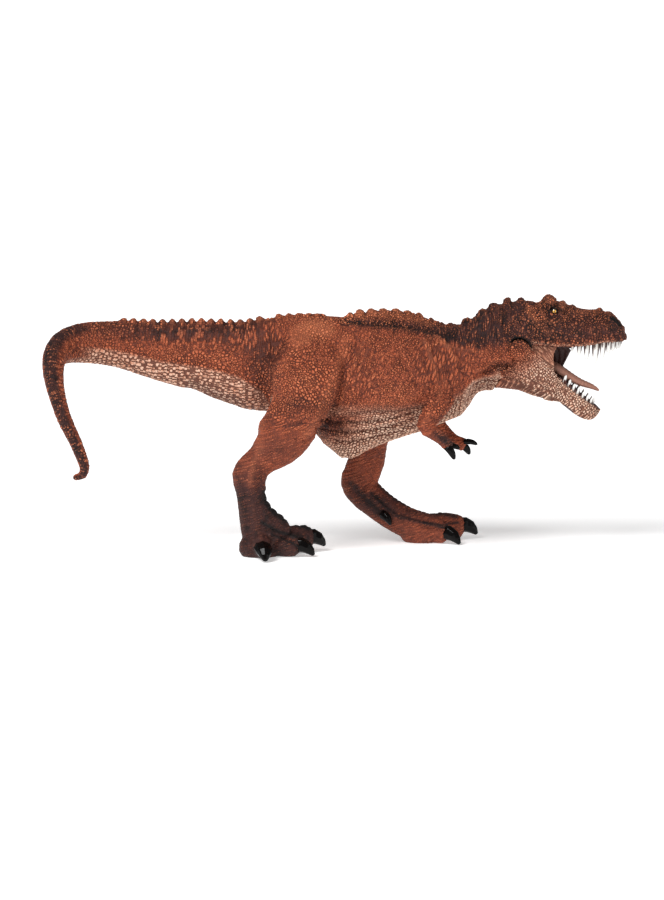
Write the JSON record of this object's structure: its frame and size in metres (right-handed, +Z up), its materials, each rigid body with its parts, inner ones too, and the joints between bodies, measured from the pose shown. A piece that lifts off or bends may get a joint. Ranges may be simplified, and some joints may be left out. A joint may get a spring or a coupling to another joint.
{
  "type": "toy dinosaur figure",
  "caption": "Moulded toy figure of a two-legged meat-eating dinosaur, striding and roaring, with a hinged lower jaw that opens and shuts.",
  "frame": {"origin": "middle of the figure's bounding box, on the surface it stands on", "axes": "+X forward toward the snout, +Y toward the animal's left side, +Z up"},
  "size_m": [0.2996, 0.0896, 0.1314],
  "materials": {
    "hide": "painted PVC, dark brown back, orange dry-brushed scales, pale tan belly",
    "claw": "glossy black",
    "tooth": "off-white",
    "tongue": "dusky pink-brown, slightly wet look",
    "eye": "yellow with a dark pupil under gloss varnish",
    "pin": "drawn wire"
  },
  "bodies": {
    "figure": {"torso": "hide", "tail": "hide", "head": "hide", "right_eye": "eye", "left_eye": "eye", "jaw_hinge_pin": "pin", "upper_teeth": "tooth", "right_leg": "hide", "right_outer_claw": "claw", "right_middle_claw": "claw", "right_inner_claw": "claw", "right_dewclaw": "claw", "left_leg": "hide", "left_outer_claw": "claw", "left_middle_claw": "claw", "left_inner_claw": "claw", "left_dewclaw": "claw", "right_arm": "hide", "right_front_finger_claw": "claw", "right_rear_finger_claw": "claw", "left_arm": "hide", "left_front_finger_claw": "claw", "left_rear_finger_claw": "claw"},
    "jaw": {"lower_jaw": "hide", "lower_teeth": "tooth", "tongue": "tongue"}
  },
  "joints": [
    {"name": "jaw_hinge", "type": "hinge", "parent": "figure", "child": "jaw", "pos_m": [0.09429, -0.00012, 0.1058], "axis": [0, 1, 0], "range_deg": [-32, 0]}
  ]
}
